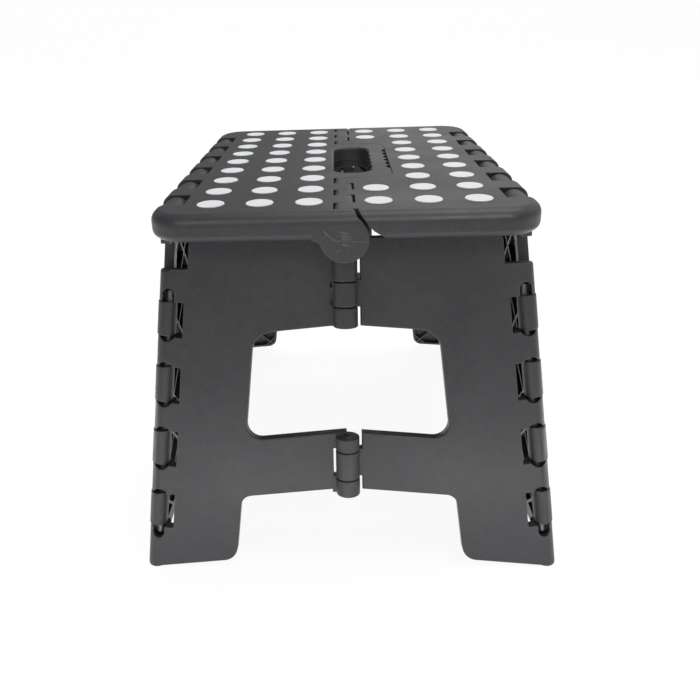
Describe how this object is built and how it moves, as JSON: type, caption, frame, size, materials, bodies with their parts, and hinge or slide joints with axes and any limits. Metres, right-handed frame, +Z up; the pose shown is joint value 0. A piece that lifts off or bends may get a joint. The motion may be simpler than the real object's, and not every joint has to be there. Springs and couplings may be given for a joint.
{
  "type": "folding step stool",
  "caption": "Folding plastic step stool with a dotted anti-slip top, a pull-up carrying loop, splayed leg panels and hinged end panels that fold inward.",
  "frame": {"origin": "on the floor, below the middle of the top", "axes": "+X to the right of the end that faces the viewer, +Y to the back along the top's hinge line, +Z up"},
  "size_m": [0.2618, 0.3108, 0.2294],
  "materials": {
    "body": "fine-grained moulded polypropylene, charcoal grey",
    "dots": "smooth pale grey thermoplastic rubber",
    "pads": "matt black rubber",
    "rods": "dull grey coated steel rod"
  },
  "bodies": {
    "left_leg": {"left_leg_panel": "body", "left_leg_foot_pads": "pads", "front_left_corner_rod": "rods", "back_left_corner_rod": "rods"},
    "right_leg": {"right_leg_panel": "body", "right_leg_foot_pads": "pads", "front_right_corner_rod": "rods", "back_right_corner_rod": "rods"},
    "left_top": {"left_top_panel": "body", "left_top_dots": "dots", "left_leg_top_rod": "rods", "front_top_rod": "rods", "back_top_rod": "rods"},
    "right_top": {"right_top_panel": "body", "right_top_dots": "dots", "right_leg_top_rod": "rods"},
    "front_left": {"front_left_panel": "body", "front_low_pin": "rods", "front_high_pin": "rods"},
    "front_right": {"front_right_panel": "body"},
    "back_left": {"back_left_panel": "body"},
    "back_right": {"back_right_panel": "body", "back_low_pin": "rods", "back_high_pin": "rods"}
  },
  "joints": [
    {"name": "fold", "type": "hinge", "parent": "left_top", "child": "right_top", "pos_m": [0, 0, 0.2075], "axis": [0, 1, 0], "range_deg": [0, 168]},
    {"name": "left_leg_hinge", "type": "hinge", "parent": "left_leg", "child": "left_top", "pos_m": [-0.09934, 0, 0.2205], "axis": [0, -1, 0], "range_deg": [0, 79.51]},
    {"name": "right_leg_hinge", "type": "hinge", "parent": "right_top", "child": "right_leg", "pos_m": [0.09934, 0, 0.2205], "axis": [0, -1, 0], "range_deg": [0, 79.51]},
    {"name": "front_right_hinge", "type": "hinge", "parent": "right_leg", "child": "front_right", "pos_m": [0.12446, -0.14887, 0], "axis": [0.111, -0.1947, -0.9746], "range_deg": [0, 81.09]},
    {"name": "back_right_hinge", "type": "hinge", "parent": "right_leg", "child": "back_right", "pos_m": [0.12446, 0.14887, 0], "axis": [-0.111, -0.1947, 0.9746], "range_deg": [0, 81.09]},
    {"name": "front_left_hinge", "type": "hinge", "parent": "left_leg", "child": "front_left", "pos_m": [-0.12446, -0.14887, 0], "axis": [0.111, 0.1947, 0.9746], "range_deg": [0, 81.09]},
    {"name": "back_left_hinge", "type": "hinge", "parent": "left_leg", "child": "back_left", "pos_m": [-0.12446, 0.14887, 0], "axis": [-0.111, 0.1947, -0.9746], "range_deg": [0, 81.09]}
  ],
  "couplings": [
    {"joint": "left_leg_hinge", "follows": "fold", "ratio": 0.4733},
    {"joint": "right_leg_hinge", "follows": "fold", "ratio": 0.4733},
    {"joint": "front_right_hinge", "follows": "fold", "ratio": 0.4827},
    {"joint": "back_right_hinge", "follows": "fold", "ratio": 0.4827},
    {"joint": "front_left_hinge", "follows": "fold", "ratio": 0.4827},
    {"joint": "back_left_hinge", "follows": "fold", "ratio": 0.4827}
  ]
}
